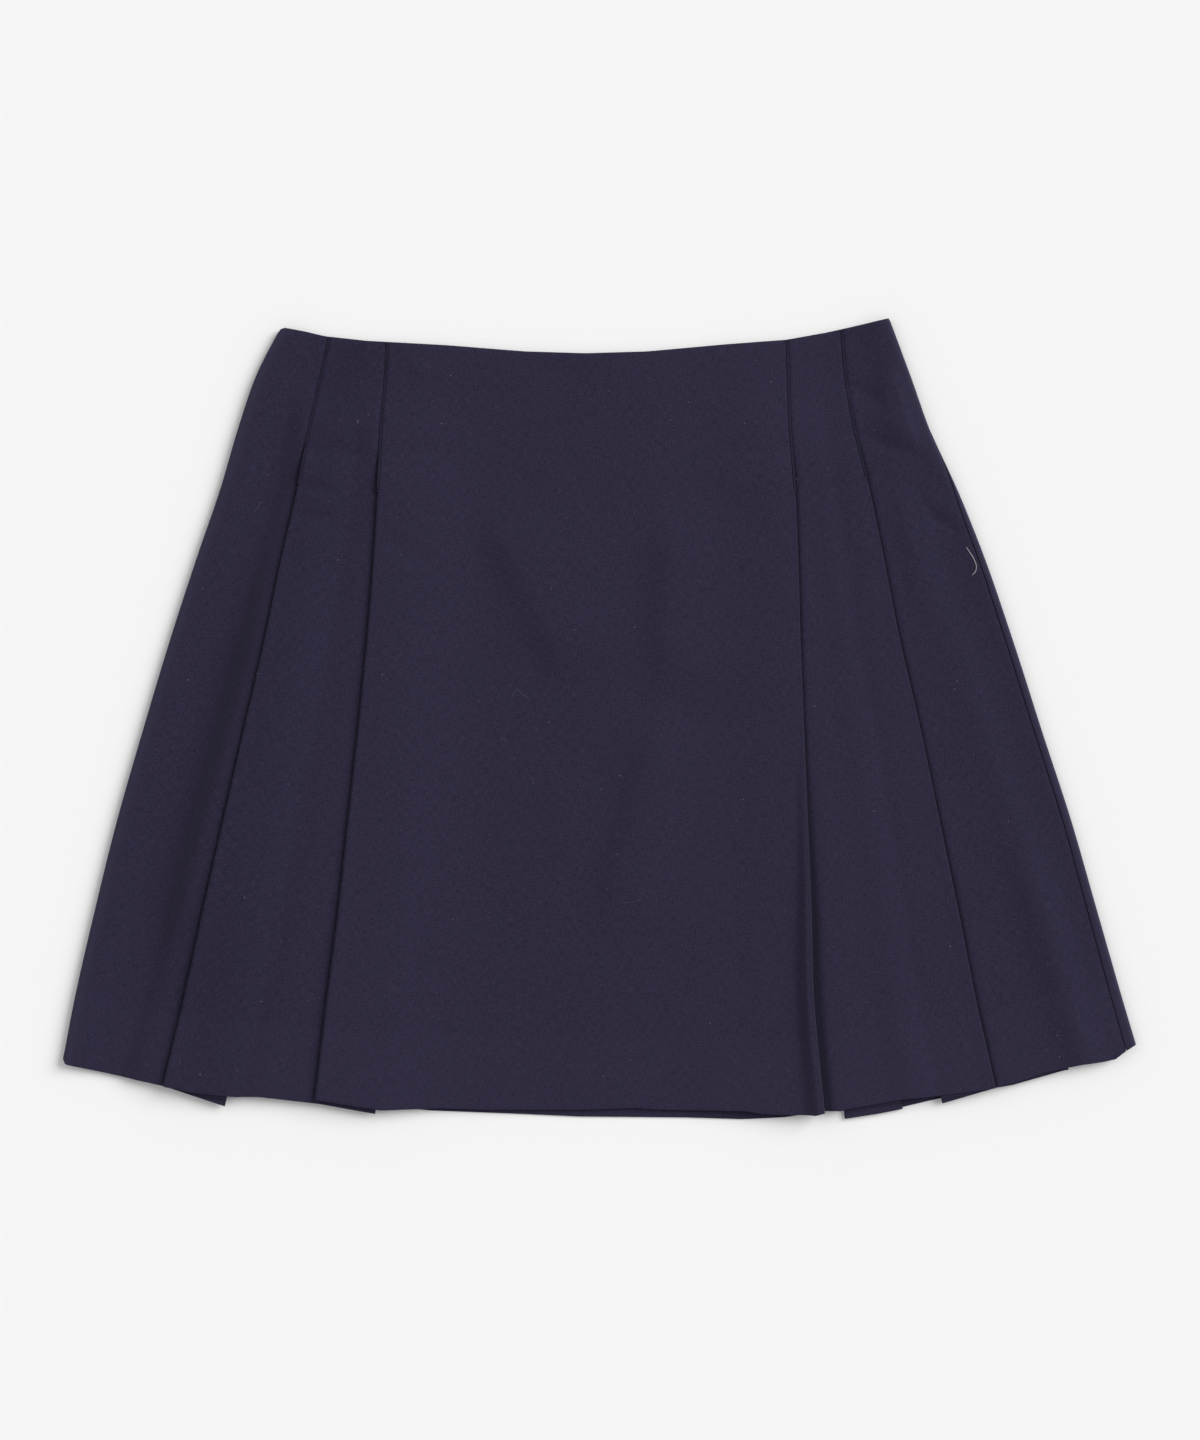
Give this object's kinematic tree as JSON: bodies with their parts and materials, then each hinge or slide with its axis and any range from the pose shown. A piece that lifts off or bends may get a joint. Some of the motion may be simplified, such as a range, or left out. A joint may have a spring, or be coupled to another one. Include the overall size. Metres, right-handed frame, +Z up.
{
  "type": "mini skirt",
  "caption": "A-line mini skirt of gores with a pleat below each front seam, laid flat with its front up; a concealed side zip closes it.",
  "frame": {"origin": "centre of the laid skirt's outline, on the surface that it lies on", "axes": "+X across the skirt to the right as seen from above, +Y from the hem to the waist, +Z up, out of the front of the skirt"},
  "size_m": [0.6, 0.4479, 0.012],
  "materials": {
    "wool_cloth": "dark navy plain-weave wool, matt, with a soft nap and small pale fibres of lint",
    "zip_tape": "navy woven polyester zip tape"
  },
  "bodies": {
    "root": {"front_centre": "wool_cloth", "front_mid_left": "wool_cloth", "front_mid_right": "wool_cloth", "front_side_left": "wool_cloth", "front_side_right": "wool_cloth", "back_centre": "wool_cloth", "back_mid_left": "wool_cloth", "back_mid_right": "wool_cloth", "back_side_left": "wool_cloth", "back_side_right": "wool_cloth", "zip_tape": "zip_tape"}
  },
  "joints": []
}
